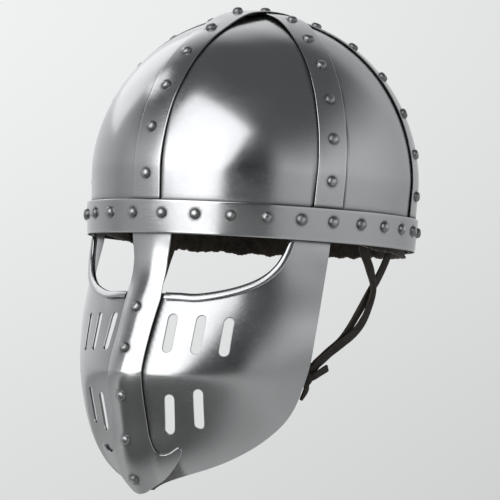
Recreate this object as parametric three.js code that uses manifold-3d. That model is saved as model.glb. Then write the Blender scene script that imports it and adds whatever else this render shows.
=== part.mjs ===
// Spangenhelm with a riveted face guard, in millimetres.
// +Z up, the face looks along -Y, the wearer's left is +X.
// The origin is the middle of the brow opening, level with the lower edge of the brow band.
import * as THREE from "three";
import { mergeVertices } from "three/addons/utils/BufferGeometryUtils.js";
import Module from "manifold-3d";

const wasm = await Module();
wasm.setup();

// ---------------------------------------------------------------- driving dimensions

const skull = {
  halfWidth: 102,
  frontReach: 114.7,
  rearReach: 109.5,
  height: 147,
  wallTop: 42.7,        // the side wall is upright up to here, then turns over
  riseExponent: 1.852,
  planExponent: 2.13,
  browPull: 2,          // how far the wall draws in between wallTop and the brow
};
const gauge = { crown: 1.2, frame: 1.2, face: 1.5, suede: 2, leather: 2 };
const gap = 0.3;

// Outer face of each layer, measured out from the crown plates' outer face.
const hoopLayer = gap + gauge.frame;
const browLayer = hoopLayer + gap + gauge.frame;
const crossingLift = gap + gauge.frame;

const brow = { height: 21.1, rivetHeight: 12.8, rivets: 30, segments: 72 };
const hoop = { width: 20.8, rivetsPerArm: 6, segments: 46, lowestShare: 0.005 };
// bearing: direction of the first arm. miss: how far the hoop passes the crown.
// bow: how far the middle of the first arm leans aside. level: how many hoops it lies over.
// lowest: height of the lowest rivets. reach: distance of the highest ones from the axis.
const hoops = [
  { name: "hoop_right_front", bearing: -62.4, miss: 0, bow: 0, level: 0, lowest: 35.3, reach: 34 },
  { name: "hoop_left_front", bearing: 60.5, miss: 2, bow: 3.3, level: 1, lowest: 38.1, reach: 33.8 },
  { name: "hoop_fore_aft", bearing: -1.2, miss: 0.3, bow: 0, level: 2, lowest: 37.7, reach: 29.5 },
];
const crossing = { inner: 25, outer: 58 };
const rivet = { radius: 3.4, height: 2.6, sides: 8 };

// Sections of the face guard from the brow down to the chin.
// side: half-width where the section runs fore and aft; front: the middle of the front;
// back: where half-width is reached; power: how round the section is;
// rear: the angle round the section at which the plate ends.
const faceSections = [
  { z: 18, side: 98.3, front: -109.2, back: 0, power: 2.0, rear: 68 },
  { z: 0, side: 98.2, front: -109.1, back: -1, power: 1.98, rear: 67.5 },
  { z: -25, side: 104, front: -108.4, back: -2.6, power: 1.88, rear: 63 },
  { z: -55, side: 107, front: -118.3, back: -5.7, power: 1.76, rear: 61.3 },
  { z: -88, side: 103.4, front: -127.7, back: -7.2, power: 1.65, rear: 60.8 },
  { z: -120, side: 92.3, front: -121.6, back: -19.9, power: 1.6, rear: 57.5 },
  { z: -145, side: 65.4, front: -115, back: -27, power: 1.75, rear: 44 },
  { z: -162, side: 36, front: -103.4, back: -34, power: 1.77, rear: 10 },
  { z: -168, side: 30, front: -98.5, back: -36, power: 1.77, rear: 6 },
];
const facePlate = { middleGap: 0.6, firstColumn: 3, columns: 11 };
const facePlateHeights = [
  17.5, 8, -1, -10, -19, -28, -37, -46, -55, -65, -76, -88, -98, -108, -118, -127, -136, -145, -152,
  -157.5, -161.5,
];

// Front outline of the eye opening on the left, below the brow band.
const eyeOutline = [
  [9, 2.5], [9, -37.4], [35, -37.4], [48.8, -34.2], [59, -30], [66.7, -24.5],
  [72, -17.5], [75, -9.3], [76.8, 0], [77, 2.5],
];
const eyeLip = { reach: 4, stand: 2.6, start: 15 };

const slotSize = { width: 6, length: 24.5 };
const slots = [
  { x: 23.4, z: -62.6, lean: -1 }, { x: 39.9, z: -62.8, lean: 0 }, { x: 54.4, z: -63.3, lean: 0.5 },
  { x: 25.8, z: -113.2, lean: 2 }, { x: 41.5, z: -109, lean: 1.5 },
];

// Front outline of the centre strip's right-hand half, from the brow down.
const stripOutline = [
  [15.5, 17], [15.2, 0], [13.2, -16], [13, -32], [13.8, -41], [13, -60], [13.2, -90],
  [13.4, -112], [14.2, -127], [16, -135.5], [18.4, -138.8], [22, -139.3], [26, -137.4],
  [30, -134.4], [31, -137], [26.2, -145.3], [17.7, -153.8], [9, -160.3], [4.5, -163.2], [0, -164.2],
];
const strip = { ridgeRise: 4.2, ridgeWidth: 14, ridgeSoftness: 3, ridgeFull: 42, stand: 0.5 };
const stripHeights = [
  17, 8, 0, -8, -16, -24, -32, -40, -49, -58, -68, -78, -88, -98, -108, -117, -124, -130, -135, -140,
  -146, -152, -158, -162, -165,
];
const stripColumns = [0, 3.5, 7, 10.5, 14, 17, 20, 24, 28, 32];
const stripRivets = [-46.8, -73, -103.2, -130.7, -155.1];

const liner = { low: -3, high: 26, halfWidth: 96, frontReach: 106.8, rearReach: 105.2 };

const thong = { width: 6.5, gapBetween: 3.2 };
const frontThong = [
  [89.4, -8.5, 9], [89.8, -6.6, -1.5], [88.6, 3.2, -13.2], [87, 10.4, -22.4], [86.1, 12.4, -28.6],
  [85.1, 10.7, -36.8], [84.1, 6.9, -45.7], [83, -0.5, -54.2], [81.9, -11, -61], [80.6, -24.5, -69],
  [79.4, -35, -75.9], [79.3, -37.2, -77.7],
];
const rearThong = [
  [88.4, 31.5, 9], [88.5, 29.3, -1.5], [88.2, 24.8, -10.6], [87.4, 20.3, -18.4],
  [86.6, 16.2, -24.4], [85.8, 11.8, -30.5], [85, 6.5, -38.3], [84.1, 1, -46.1], [83, -5, -54.4],
  [81.9, -11.5, -61.4], [80.8, -22, -68.6], [79.4, -33, -76.2], [79.1, -35.4, -78.3],
];
const knot = { centre: [77.5, -45.2, -86.2], size: [4, 7, 6] };
const looseEnd = [[79, -45.5, -87], [82, -41.8, -85], [83.7, -36, -81.8], [84.2, -29.6, -78.8]];
const tuckedEnd = [[77.5, -44.5, -87.5], [79.4, -44.6, -92.6], [78.4, -48.4, -99.9]];
const chinThong = [
  [74, -47.5, -94], [68, -56, -104], [56, -66, -115], [40, -74, -123.5], [20, -79, -128.5], [0, -80.5, -130],
];

// ---------------------------------------------------------------- materials

const steel = (color, roughness) => new THREE.MeshStandardMaterial({ color, roughness, metalness: 1 });
const crownSteel = steel(0xa9adb2, 0.28);
const frameSteel = steel(0xb4b8bc, 0.34);
const faceSteel = steel(0xaeb2b6, 0.3);
const suede = new THREE.MeshStandardMaterial({ color: 0x3a342c, roughness: 0.95, metalness: 0 });
const darkLeather = new THREE.MeshStandardMaterial({ color: 0x2e2a25, roughness: 0.7, metalness: 0 });

// ---------------------------------------------------------------- solids

function toSolid(geometry) {
  const bare = geometry.index ? geometry.toNonIndexed() : geometry.clone();
  bare.deleteAttribute("normal");
  bare.deleteAttribute("uv");
  const merged = mergeVertices(bare, 1e-4);
  const mesh = new wasm.Mesh({
    numProp: 3,
    vertProperties: new Float32Array(merged.attributes.position.array),
    triVerts: new Uint32Array(merged.index.array),
  });
  return new wasm.Manifold(mesh);
}

function toGeometry(solid) {
  const mesh = solid.getMesh();
  const geometry = new THREE.BufferGeometry();
  geometry.setAttribute("position", new THREE.BufferAttribute(new Float32Array(mesh.vertProperties), 3));
  geometry.setIndex(new THREE.BufferAttribute(new Uint32Array(mesh.triVerts), 1));
  geometry.computeVertexNormals();
  return geometry;
}

const steps = (count) => Array.from({ length: count + 1 }, (_, i) => i / count);
const lerp = (a, b, f) => a + (b - a) * f;
const radians = (degrees) => (degrees * Math.PI) / 180;

// Closed solid between two faces given as grids of points, rows by columns.
// closedRows joins the first row to the last, which makes a ring.
function gridSolid(outer, inner, closedRows = false) {
  const rows = outer.length;
  const columns = outer[0].length;
  const positions = [...outer.flat(), ...inner.flat()].flatMap((p) => [p.x, p.y, p.z]);
  const out = (r, c) => (r % rows) * columns + c;
  const into = (r, c) => rows * columns + out(r, c);
  const indices = [];
  const quad = (a, b, c, d) => indices.push(a, b, c, a, c, d);
  const lastRow = closedRows ? rows : rows - 1;
  for (let r = 0; r < lastRow; r++) {
    for (let c = 0; c < columns - 1; c++) {
      quad(out(r, c), out(r, c + 1), out(r + 1, c + 1), out(r + 1, c));
      quad(into(r, c), into(r + 1, c), into(r + 1, c + 1), into(r, c + 1));
    }
    quad(out(r, 0), out(r + 1, 0), into(r + 1, 0), into(r, 0));
    quad(out(r, columns - 1), into(r, columns - 1), into(r + 1, columns - 1), out(r + 1, columns - 1));
  }
  if (!closedRows) {
    for (let c = 0; c < columns - 1; c++) {
      quad(out(0, c), into(0, c), into(0, c + 1), out(0, c + 1));
      quad(out(rows - 1, c), out(rows - 1, c + 1), into(rows - 1, c + 1), into(rows - 1, c));
    }
  }
  const geometry = new THREE.BufferGeometry();
  geometry.setAttribute("position", new THREE.Float32BufferAttribute(positions, 3));
  geometry.setIndex(indices);
  const solid = toSolid(geometry);
  if (solid.volume() > 0) return solid;
  geometry.setIndex(indices.map((_, i) => indices[i - (i % 3) + (2 - (i % 3))]));
  return toSolid(geometry);
}

function unionOf(solids) {
  return solids.reduce((whole, piece) => whole.add(piece));
}

function prism(outline, depth) {
  const shape = new THREE.Shape(outline.map(([x, y]) => new THREE.Vector2(x, y)));
  return new THREE.ExtrudeGeometry(shape, { depth, bevelEnabled: false });
}

// Prism whose outline is given in the front view, running back from y = near to y = far.
function frontPrism(outline, near, far) {
  const geometry = prism(outline, far - near);
  geometry.rotateX(Math.PI / 2);
  geometry.translate(0, far, 0);
  return toSolid(geometry);
}

// Flat band of constant width and thickness along a path; facing gives its outward side.
function ribbon(points, width, thickness, facing) {
  const path = points.map((p) => new THREE.Vector3(...p));
  const rows = path.map((point, i) => {
    const before = path[Math.max(i - 1, 0)];
    const after = path[Math.min(i + 1, path.length - 1)];
    const along = after.clone().sub(before).normalize();
    const out = facing(point);
    out.addScaledVector(along, -out.dot(along)).normalize();
    const across = new THREE.Vector3().crossVectors(along, out);
    const at = (u, v) => point.clone().addScaledVector(across, u).addScaledVector(out, v);
    return { outer: [-1, 1].map((s) => at((s * width) / 2, thickness / 2)),
             inner: [-1, 1].map((s) => at((s * width) / 2, -thickness / 2)) };
  });
  return gridSolid(rows.map((row) => row.outer), rows.map((row) => row.inner));
}

// ---------------------------------------------------------------- skull surface

// Share of the full plan size that the skull keeps at height z.
function planShare(z) {
  if (z <= skull.wallTop) {
    const down = (skull.wallTop - z) / skull.wallTop;
    return 1 - (skull.browPull / skull.halfWidth) * Math.max(down, 0) ** 1.2;
  }
  const up = Math.min((z - skull.wallTop) / (skull.height - skull.wallTop), 1);
  return (1 - up ** skull.riseExponent) ** (1 / skull.planExponent);
}

// Point of the skull, moved out by offset, straight out from its core towards the given point.
function onSkull(x, y, z, offset) {
  const a = skull.halfWidth + offset;
  const b = (y < 0 ? skull.frontReach : skull.rearReach) + offset;
  if (z <= skull.wallTop) {
    const k = planShare(z) / Math.hypot(x / a, y / b);
    return new THREE.Vector3(x * k, y * k, z);
  }
  const rise = skull.height + offset - skull.wallTop;
  const height = z - skull.wallTop;
  let low = 0;
  let high = (2 * skull.height) / Math.hypot(x, y, height);
  for (let i = 0; i < 40; i++) {
    const k = (low + high) / 2;
    const reach = Math.hypot((x * k) / a, (y * k) / b) ** skull.planExponent;
    const lift = ((height * k) / rise) ** skull.riseExponent;
    if (reach + lift < 1) low = k;
    else high = k;
  }
  return new THREE.Vector3(x * low, y * low, skull.wallTop + height * low);
}

// Horizontal unit vector at a bearing from straight ahead, turning towards the wearer's left.
function bearingVector(degrees) {
  return new THREE.Vector3(Math.sin(radians(degrees)), -Math.cos(radians(degrees)), 0);
}

// Meridian of the skull: from the brow (0) to the crown (1) at a bearing.
const wallShare = 0.2;

function meridianPoint(degrees, share, offset) {
  const flat = bearingVector(degrees);
  if (share < wallShare) {
    return onSkull(flat.x, flat.y, (skull.wallTop * share) / wallShare, offset);
  }
  const turn = ((share - wallShare) / (1 - wallShare)) * (Math.PI / 2);
  const reach = Math.cos(turn);
  return onSkull(flat.x * reach, flat.y * reach, skull.wallTop + Math.sin(turn) + 1e-9, offset);
}

// ---------------------------------------------------------------- crown plates

const crownMesh = { topShare: 0.965, seam: 0.35 };
const crownPlates = [
  ["crown_plate_front_left", 0, 60.5], ["crown_plate_left", 60.5, 117.5],
  ["crown_plate_rear_left", 117.5, 180], ["crown_plate_rear_right", 180, 240.5],
  ["crown_plate_right", 240.5, 297.5], ["crown_plate_front_right", 297.5, 360],
];

function crownPlate(from, to) {
  const shares = steps(13).map((s) => s * crownMesh.topShare);
  const face = (offset) => steps(8).map((across) => shares.map((share) => {
    const point = meridianPoint(lerp(from, to, across), share, offset);
    if (across > 0 && across < 1) return point;
    const inward = bearingVector(across === 0 ? from + 90 : to - 90);
    return point.addScaledVector(inward, crownMesh.seam);
  }));
  return gridSolid(face(0), face(-gauge.crown));
}

// ---------------------------------------------------------------- hoops and brow band

const domeHead = new THREE.LatheGeometry(
  [[0, -0.8], [rivet.radius, -0.8], [rivet.radius * 0.94, rivet.height * 0.35],
    [rivet.radius * 0.55, rivet.height * 0.87], [0, rivet.height]].map((p) => new THREE.Vector2(...p)),
  rivet.sides,
);

function rivetAt(point, outward) {
  const turn = new THREE.Quaternion().setFromUnitVectors(new THREE.Vector3(0, 1, 0), outward);
  const geometry = domeHead.clone().applyQuaternion(turn);
  geometry.translate(point.x, point.y, point.z);
  return toSolid(geometry);
}

// A hoop's point: across is the distance from its centre line.
function hoopPoint({ bearing, miss, bow, level }, share, across, offset) {
  const side = share < 0.5 ? 1 : -1;
  const toCrown = share < 0.5 ? share * 2 : (1 - share) * 2;
  const along = bearingVector(side > 0 ? bearing : bearing + 180);
  const lean = side > 0 ? bow * Math.sin(Math.PI * toCrown) : 0;
  const sideways = bearingVector(bearing + 90).multiplyScalar(across + miss + lean);
  const base = meridianPoint(side > 0 ? bearing : bearing + 180, lerp(hoop.lowestShare, 1, toCrown), 0);
  const reach = Math.hypot(base.x, base.y);
  const ease = THREE.MathUtils.smoothstep(reach, crossing.inner, crossing.outer);
  const lift = level * crossingLift * (1 - ease);
  const aim = along.multiplyScalar(reach).add(sideways);
  return onSkull(aim.x, aim.y, base.z, offset + lift);
}

function hoopSolid(spec) {
  const rows = steps(hoop.segments);
  const columns = [-1, -1 / 3, 1 / 3, 1].map((c) => (c * hoop.width) / 2);
  const face = (offset) => rows.map((s) => columns.map((c) => hoopPoint(spec, s, c, offset)));
  const band = gridSolid(face(hoopLayer), face(gap));
  return unionOf([band, ...hoopRivets(spec)]);
}

// Shares of a hoop's half at which its rivets sit, evenly spaced along the arm.
function armRivetShares(spec) {
  const samples = steps(400).map((s) => s * 0.5);
  const points = samples.map((s) => hoopPoint(spec, s, 0, 0));
  const first = points.findIndex((p) => p.z >= spec.lowest);
  const final = points.findIndex((p) => Math.hypot(p.x, p.y) <= spec.reach);
  const lengths = [0];
  for (let i = first + 1; i <= final; i++) lengths.push(lengths.at(-1) + points[i].distanceTo(points[i - 1]));
  return steps(hoop.rivetsPerArm - 1).map((f) => {
    const i = lengths.findIndex((length) => length >= f * lengths.at(-1) - 1e-6);
    return samples[first + i];
  });
}

function hoopRivets(spec) {
  const shares = armRivetShares(spec).flatMap((s) => [s, 1 - s]);
  if (spec.level === hoops.length - 1) shares.push(0.5);
  return shares.map((s) => {
    const point = hoopPoint(spec, s, 0, hoopLayer);
    const outward = hoopPoint(spec, s, 0, hoopLayer + 4).sub(point).normalize();
    return rivetAt(point, outward);
  });
}

function ringFace(z, offset, count) {
  return steps(count).slice(0, count).map((s) => {
    const flat = bearingVector(s * 360);
    return onSkull(flat.x, flat.y, z, offset);
  });
}

// Bearings of the brow rivets, evenly spaced along the band from the middle of the front.
function browRivetBearings() {
  const ring = ringFace(brow.rivetHeight, browLayer, 1440);
  const run = [0];
  for (let i = 1; i <= ring.length; i++) run.push(run[i - 1] + ring[i % ring.length].distanceTo(ring[i - 1]));
  return steps(brow.rivets).slice(0, brow.rivets).map((_, i) => {
    const along = ((i + 0.5) / brow.rivets) * run[ring.length];
    return (run.findIndex((length) => length >= along) * 360) / ring.length;
  });
}

function browBand() {
  const count = brow.segments;
  const levels = [0, brow.height / 2, brow.height];
  const face = (offset) => {
    const rings = levels.map((z) => ringFace(z, offset, count));
    return rings[0].map((_, i) => rings.map((ring) => ring[i]));
  };
  const band = gridSolid(face(browLayer), face(browLayer - gauge.frame), true);
  const heads = browRivetBearings().map((bearing) => {
    const flat = bearingVector(bearing);
    const point = onSkull(flat.x, flat.y, brow.rivetHeight, browLayer);
    return rivetAt(point, flat);
  });
  return unionOf([band, ...heads]);
}

// ---------------------------------------------------------------- face guard

// Value of a section property at height z, on a smooth curve through the sections.
function faceValue(key, z) {
  const i = THREE.MathUtils.clamp(faceSections.findIndex((s) => z > s.z) - 1, 0, faceSections.length - 2);
  const [p0, p1, p2, p3] = [i - 1, i, i + 1, i + 2].map(
    (k) => faceSections[THREE.MathUtils.clamp(k, 0, faceSections.length - 1)],
  );
  const slope = (a, b) => (b[key] - a[key]) / (b.z - a.z || 1);
  const step = p2.z - p1.z;
  const f = (z - p1.z) / step;
  const inSlope = (p0 === p1 ? slope(p1, p2) : slope(p0, p2)) * step;
  const outSlope = (p2 === p3 ? slope(p1, p2) : slope(p1, p3)) * step;
  return (2 * f ** 3 - 3 * f ** 2 + 1) * p1[key] + (f ** 3 - 2 * f ** 2 + f) * inSlope
    + (3 * f ** 2 - 2 * f ** 3) * p2[key] + (f ** 3 - f ** 2) * outSlope;
}

const sectionAt = (z) => {
  const height = THREE.MathUtils.clamp(z, faceSections.at(-1).z + 1e-6, faceSections[0].z - 1e-6);
  return { side: faceValue("side", height), front: faceValue("front", height),
           back: faceValue("back", height), power: faceValue("power", height),
           rear: faceValue("rear", height) };
};

// Point on the face surface at an angle round the section (0 is straight ahead).
function facePoint(z, degrees) {
  const s = sectionAt(z);
  const x = s.side * Math.sin(radians(degrees)) ** (2 / s.power);
  const y = s.back + (s.front - s.back) * Math.cos(radians(degrees)) ** (2 / s.power);
  return new THREE.Vector3(x, y, z);
}

// Angle round the section at which the half-width is x.
function faceAngle(z, x) {
  const s = sectionAt(z);
  return (Math.asin(Math.min(x / s.side, 1) ** (s.power / 2)) * 180) / Math.PI;
}

function faceNormal(z, degrees) {
  const step = 0.5;
  const along = facePoint(z, degrees + step).sub(facePoint(z, Math.max(degrees - step, 0.05)));
  const down = facePoint(z - step, degrees).sub(facePoint(z + step, degrees));
  return new THREE.Vector3().crossVectors(down, along).normalize();
}

const mirrored = (solid) => solid.mirror([1, 0, 0]);

function facePlateSolid() {
  const face = (depth) => facePlateHeights.map((z) => {
    const first = faceAngle(z, facePlate.firstColumn);
    const end = sectionAt(z).rear;
    const angles = [faceAngle(z, facePlate.middleGap), ...steps(facePlate.columns).map((f) => lerp(first, end, f))];
    return angles.map((angle) => {
      const point = facePoint(z, angle).addScaledVector(faceNormal(z, Math.max(angle, first)), -depth);
      point.x = Math.max(point.x, facePlate.middleGap);
      return point;
    });
  });
  const shell = gridSolid(face(0), face(gauge.face));
  const eye = frontPrism(eyeOutline, -130, -50);
  return unionOf([shell.subtract(eye).subtract(unionOf(slots.map(slotCutter))), eyeLipSolid()]);
}

// Front outline of a slot: round ends, its width narrowed by the plate's slant to the front view.
function slotCutter({ x, z, lean }) {
  const radius = slotSize.width / 2;
  const straight = slotSize.length / 2 - radius;
  const outward = faceNormal(z, faceAngle(z, x));
  const slant = Math.abs(outward.y) / Math.hypot(outward.x, outward.y);
  const outline = [1, -1].flatMap((end) => steps(6).map((f) => {
    const turn = Math.PI * f + (end > 0 ? 0 : Math.PI);
    const height = end * straight + radius * Math.sin(turn);
    return [x + radius * slant * Math.cos(turn) + (lean * height) / slotSize.length, z + height];
  }));
  return frontPrism(outline, -140, -60);
}

// Outward-turned lip along the lower and rear edges of the eye opening.
function eyeLipSolid() {
  const edge = eyeOutline.slice(1, -1).map(([x, z]) => new THREE.Vector2(x, z));
  edge[0] = new THREE.Vector2(eyeLip.start, edge[0].y);
  const curve = new THREE.SplineCurve([edge[0], new THREE.Vector2(24, edge[0].y), ...edge.slice(1)]);
  const rows = steps(16).map((f) => {
    const at = curve.getPoint(f);
    const tangent = curve.getTangent(f);
    const away = new THREE.Vector2(tangent.y, -tangent.x);
    const height = Math.min(at.y, -0.6);
    const angle = faceAngle(height, at.x);
    const outward = faceNormal(height, angle);
    const foot = facePoint(height, angle);
    const aim = facePoint(height + away.y * 3, faceAngle(height + away.y * 3, at.x + away.x * 3))
      .sub(foot).normalize();
    const tip = aim.clone().multiplyScalar(eyeLip.reach).addScaledVector(outward, eyeLip.stand);
    tip.z = Math.min(tip.z, -0.6 - foot.z);
    const root = foot.clone().addScaledVector(outward, -0.6).addScaledVector(aim, 0.5);
    const wall = outward.clone().multiplyScalar(gauge.face * 0.8);
    const end = foot.clone().add(tip);
    return { outer: [root.clone().add(wall), end], inner: [root, end.clone().sub(wall)] };
  });
  return gridSolid(rows.map((r) => r.outer), rows.map((r) => r.inner));
}

function ridgeRise(x, z) {
  const grow = THREE.MathUtils.smoothstep(-z, 0, strip.ridgeFull);
  const soft = strip.ridgeSoftness;
  const away = Math.hypot(x, soft) - soft;
  return strip.ridgeRise * grow * Math.max(1 - away / strip.ridgeWidth, 0);
}

// Outer face of the centre strip at a front-view place.
function stripPoint(x, z, offset) {
  const point = facePoint(z, faceAngle(z, Math.max(Math.abs(x), 0.6)));
  point.x = x;
  point.y -= offset + ridgeRise(x, z);
  return point;
}

function centreStrip() {
  const across = [...stripColumns.slice(1).reverse().map((x) => -x), ...stripColumns];
  const face = (offset) => stripHeights.map((z) => across.map((x) => stripPoint(x, z, offset)));
  const blank = gridSolid(face(strip.stand + gauge.frame), face(strip.stand));
  const left = stripOutline.map(([x, z]) => [-x, z]).reverse().slice(1);
  const cut = blank.intersect(frontPrism([...stripOutline, ...left], -150, -60));
  const heads = stripRivets.map((z) => {
    const point = stripPoint(0, z, strip.stand + gauge.frame);
    const slope = stripPoint(0, z - 1, 0).sub(stripPoint(0, z + 1, 0));
    return rivetAt(point, new THREE.Vector3(0, slope.z, -slope.y).normalize());
  });
  return unionOf([cut, ...heads]);
}

// ---------------------------------------------------------------- leather

function suedeLiner() {
  const count = 60;
  const levels = [liner.low, liner.high];
  const face = (depth) => steps(count).slice(0, count).map((s) => levels.map((z) => {
    const flat = bearingVector(s * 360);
    const a = liner.halfWidth - depth;
    const b = (flat.y < 0 ? liner.frontReach : liner.rearReach) - depth;
    const k = 1 / Math.hypot(flat.x / a, flat.y / b);
    return new THREE.Vector3(flat.x * k, flat.y * k, z);
  }));
  return gridSolid(face(0), face(gauge.suede), true);
}

const sideFacing = () => new THREE.Vector3(1, 0, 0);
const jawFacing = (point) => point.clone().sub(new THREE.Vector3(0, -60, -60));

function sideThong(points, shift) {
  const moved = points.map(([x, y, z]) => [x + shift, y, z]);
  return ribbon(moved, thong.width, gauge.leather, sideFacing);
}

function strapKnot() {
  const lump = new THREE.SphereGeometry(1, 10, 6);
  lump.scale(...knot.size);
  lump.translate(...knot.centre);
  return unionOf([
    toSolid(lump),
    ribbon(looseEnd, 4.5, gauge.leather, sideFacing),
    ribbon(tuckedEnd, 6, gauge.leather, sideFacing),
  ]);
}

function chinStrap() {
  const half = chinThong.map((p) => [...p]);
  const other = chinThong.slice(0, -1).map(([x, y, z]) => [-x, y, z]).reverse();
  return ribbon([...half, ...other], thong.width, gauge.leather, jawFacing);
}

// ---------------------------------------------------------------- assembly

const helmet = new THREE.Group();

function addPiece(name, solid, material) {
  const mesh = new THREE.Mesh(toGeometry(solid), material);
  mesh.name = name;
  helmet.add(mesh);
}

for (const [name, from, to] of crownPlates) addPiece(name, crownPlate(from, to), crownSteel);
for (const spec of hoops) addPiece(spec.name, hoopSolid(spec), frameSteel);
addPiece("brow_band", browBand(), frameSteel);

const leftPlate = facePlateSolid();
addPiece("face_plate_left", leftPlate, faceSteel);
addPiece("face_plate_right", mirrored(leftPlate), faceSteel);
addPiece("centre_strip", centreStrip(), frameSteel);

addPiece("suede_liner", suedeLiner(), suede);
const outerThong = sideThong(frontThong, thong.gapBetween / 2);
const innerThong = sideThong(rearThong, -thong.gapBetween / 2);
const knotSolid = strapKnot();
addPiece("thong_left_front", outerThong, darkLeather);
addPiece("thong_left_rear", innerThong, darkLeather);
addPiece("knot_left", knotSolid, darkLeather);
addPiece("thong_right_front", mirrored(outerThong), darkLeather);
addPiece("thong_right_rear", mirrored(innerThong), darkLeather);
addPiece("knot_right", mirrored(knotSolid), darkLeather);
addPiece("chin_thong", chinStrap(), darkLeather);

export default helmet;
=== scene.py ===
"""Spangenhelm with a riveted face guard.

A dome of six plates held by three riveted hoops and a brow band, with a two-piece
face guard, a ridged centre strip, a suede lining band and a leather chin thong.
Lengths in the tables below are millimetres: +Z up, the face looks along -Y.
"""
import math
from collections import namedtuple

import bmesh
import bpy
import numpy as np
from mathutils import Matrix, Vector
from mathutils.geometry import delaunay_2d_cdt


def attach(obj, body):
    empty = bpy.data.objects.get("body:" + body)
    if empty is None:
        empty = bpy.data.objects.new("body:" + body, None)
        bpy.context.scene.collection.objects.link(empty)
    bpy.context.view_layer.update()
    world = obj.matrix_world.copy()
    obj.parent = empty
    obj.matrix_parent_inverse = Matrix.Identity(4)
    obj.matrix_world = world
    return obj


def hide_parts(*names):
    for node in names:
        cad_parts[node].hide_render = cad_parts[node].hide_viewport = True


bl_info = {
    "name": "Spangenhelm",
    "version": (1, 0, 0),
    "blender": (4, 5, 0),
    "location": "View3D > Sidebar > Helmet",
    "description": "Builds a riveted spangenhelm around its packed frame",
    "category": "Add Mesh",
}

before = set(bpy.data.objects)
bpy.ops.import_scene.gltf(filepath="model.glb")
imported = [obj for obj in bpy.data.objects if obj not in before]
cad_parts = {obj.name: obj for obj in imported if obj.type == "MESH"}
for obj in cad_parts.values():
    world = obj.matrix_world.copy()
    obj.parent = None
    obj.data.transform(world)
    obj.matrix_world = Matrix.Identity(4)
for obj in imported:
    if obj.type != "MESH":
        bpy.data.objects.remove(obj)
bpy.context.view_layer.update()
MM = 0.001
SEED = 11

# ------------------------------------------------------------------ shape tables

HALF_WIDTH, FRONT_REACH, REAR_REACH, DOME_HEIGHT = 102.0, 114.7, 109.5, 147.0
WALL_TOP, RISE_POWER, PLAN_POWER, BROW_PULL = 42.7, 1.852, 2.13, 2.0
WALL_SHARE, HOOP_FOOT_SHARE, CROWN_TOP_SHARE = 0.2, 0.005, 0.965
SEAM, RIM, BROW_RIVET_HEIGHT = 0.35, 0.4, 12.8
GAP, FRAME_GAUGE, CROWN_GAUGE, FACE_GAUGE = 0.3, 1.2, 1.2, 1.5
HOOP_LAYER = GAP + FRAME_GAUGE
BROW_LAYER = 2 * HOOP_LAYER
CROSSING_INNER, CROSSING_OUTER = 25.0, 58.0

CROWN_PLATES = (
    ("front_left", 0, 60.5), ("left", 60.5, 117.5), ("rear_left", 117.5, 180),
    ("rear_right", 180, 240.5), ("right", 240.5, 297.5), ("front_right", 297.5, 360),
)
# miss: how far it passes beside the crown; bow: of its first arm; level: hoops it lies over;
# lowest: height of its lowest rivets; highest: distance of its highest ones from the crown
Hoop = namedtuple("Hoop", "name bearing miss bow level lowest highest")
HOOPS = (Hoop("right_front", -62.4, 0.0, 0.0, 0, 35.3, 34.0),
         Hoop("left_front", 60.5, 2.0, 3.3, 1, 38.1, 33.8),
         Hoop("fore_aft", -1.2, 0.3, 0.0, 2, 37.7, 29.5))

# height, half-width, front, place of the half-width, roundness, rear angle
FACE_SECTIONS = np.array([
    (-168, 30, -98.5, -36, 1.77, 6), (-162, 36, -103.4, -34, 1.77, 10),
    (-145, 65.4, -115, -27, 1.75, 44), (-120, 92.3, -121.6, -19.9, 1.6, 57.5),
    (-88, 103.4, -127.7, -7.2, 1.65, 60.8), (-55, 107, -118.3, -5.7, 1.76, 61.3),
    (-25, 104, -108.4, -2.6, 1.88, 63), (0, 98.2, -109.1, -1, 1.98, 67.5),
    (18, 98.3, -109.2, 0, 2.0, 68),
])
FACE_TOP, FACE_BOTTOM, FACE_MIDDLE = 17.5, -161.5, 1.0
CREASE_HEIGHT, CREASE_SPREAD = -88.0, 14.0

EYE_INNER, EYE_TOP, EYE_LOW = 9.0, 2.5, -37.4
EYE_REAR = [(35, EYE_LOW), (48.8, -34.2), (59, -30), (66.7, -24.5), (72, -17.5), (75, -9.3),
            (76.8, 0)]
LIP_START = 15.0
SLOT_WIDTH, SLOT_LENGTH = 6.0, 24.5
SLOTS = ((23.4, -62.6, -1), (39.9, -62.8, 0), (54.4, -63.3, 0.5),
         (25.8, -113.2, 2), (41.5, -109, 1.5))
STRIP_OUTLINE = [
    (15.5, 17), (15.2, 0), (13.2, -16), (13, -32), (13.8, -41), (13, -60), (13.2, -90),
    (13.4, -112), (14.2, -127), (16, -135.5), (18.4, -138.8), (22, -139.3), (26, -137.4),
    (30, -134.4), (31, -137), (26.2, -145.3), (17.7, -153.8), (9, -160.3), (4.5, -163.2),
    (0, -164.2)]
RIDGE_WIDTH, RIDGE_SOFTNESS, RIDGE_FULL, FLANK_POWER, STRIP_STAND = 14.0, 3.0, 42.0, 1.4, 0.5
STRIP_RIVETS = (-46.8, -73, -103.2, -130.7, -155.1)

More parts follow.
